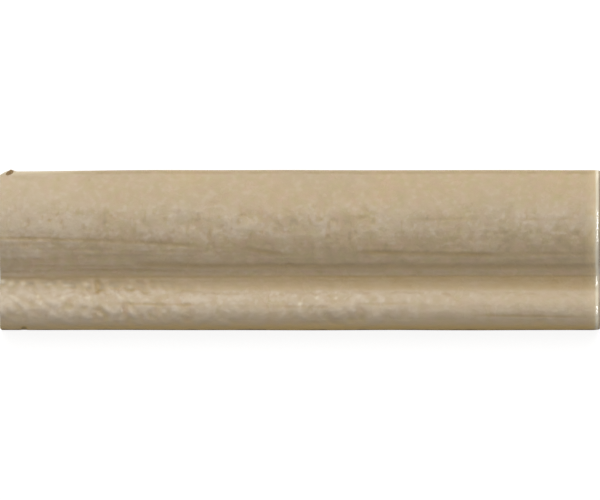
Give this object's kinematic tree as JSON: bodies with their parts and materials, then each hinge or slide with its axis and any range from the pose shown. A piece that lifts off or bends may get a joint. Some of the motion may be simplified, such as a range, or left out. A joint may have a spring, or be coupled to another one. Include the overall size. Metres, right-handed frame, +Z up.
{
  "type": "ceramic trim tile",
  "caption": "Glazed ceramic trim tile: a straight moulded rail with a wide torus above a narrow bead, used to finish or divide a tiled wall.",
  "frame": {"origin": "middle of the bedding face, the flat back that the tile lies on", "axes": "+X along the length, +Y across the width from the bead's edge to the torus's edge, +Z up from the bedding face to the glazed face"},
  "size_m": [0.15, 0.04, 0.016],
  "materials": {
    "glaze": "gloss"
  },
  "bodies": {
    "root": {"trim_tile": "glaze"}
  },
  "joints": []
}
